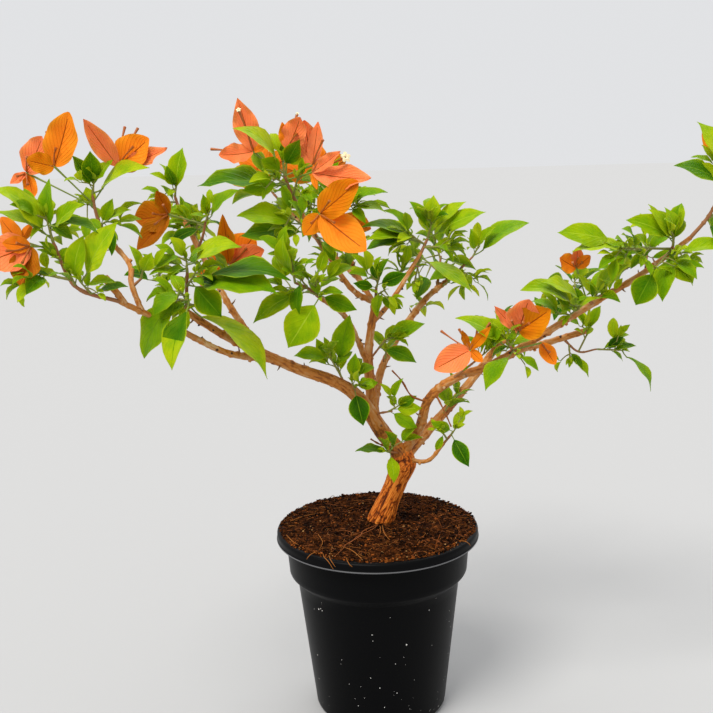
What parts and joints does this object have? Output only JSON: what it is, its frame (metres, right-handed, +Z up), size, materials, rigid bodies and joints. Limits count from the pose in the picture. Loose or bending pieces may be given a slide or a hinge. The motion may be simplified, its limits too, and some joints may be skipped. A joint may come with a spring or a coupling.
{
  "type": "potted bougainvillea shrub",
  "caption": "Young bougainvillea bush with a leaning trunk, forked spreading boughs, leafy sprays and orange bracts, standing in a round nursery pot on its flat base.",
  "frame": {"origin": "centre of the pot's flat underside", "axes": "+Z up, +X along the widest spread of the boughs to the right of someone in front of the plant, +Y away from them"},
  "size_m": [0.5699, 0.2798, 0.5068],
  "materials": {
    "pot": "soft sheen",
    "soil": "coarse and fibrous",
    "trunk_bark": "fissured bark",
    "bough_bark": "bark with nodes and thorns",
    "foliage": "leaves with orange bracts"
  },
  "bodies": {
    "root": {"bough_back": "bough_bark", "bough_centre": "bough_bark", "bough_centre_front": "bough_bark", "bough_centre_right": "bough_bark", "bough_centre_side": "bough_bark", "bough_left": "bough_bark", "bough_left_back": "bough_bark", "bough_left_lower": "bough_bark", "bough_left_stub": "bough_bark", "bough_left_upper": "bough_bark", "bough_left_upright": "bough_bark", "bough_right": "bough_bark", "bough_right_back": "bough_bark", "bough_right_behind": "bough_bark", "bough_right_stub": "bough_bark", "bough_right_upper": "bough_bark", "bough_top_back": "bough_bark", "bough_top_front": "bough_bark", "foliage_back": "foliage", "foliage_bough_left": "foliage", "foliage_bough_low": "foliage", "foliage_centre_front": "foliage", "foliage_centre_right": "foliage", "foliage_centre_top": "foliage", "foliage_fork": "foliage", "foliage_fork_right": "foliage", "foliage_left_back": "foliage", "foliage_left_end": "foliage", "foliage_left_inner": "foliage", "foliage_left_mid": "foliage", "foliage_left_rosette": "foliage", "foliage_left_tip": "foliage", "foliage_left_upper": "foliage", "foliage_right_back": "foliage", "foliage_right_behind": "foliage", "foliage_right_cluster": "foliage", "foliage_right_cluster_back": "foliage", "foliage_right_crown": "foliage", "foliage_right_crown_back": "foliage", "foliage_right_crown_end": "foliage", "foliage_right_low": "foliage", "foliage_right_mid": "foliage", "foliage_right_shoot": "foliage", "foliage_right_tip": "foliage", "foliage_right_under": "foliage", "foliage_top_back": "foliage", "foliage_top_front": "foliage", "foliage_top_left": "foliage", "foliage_trunk": "foliage", "pot": "pot", "soil": "soil", "trunk": "trunk_bark", "twig_fork": "bough_bark"}
  },
  "joints": []
}
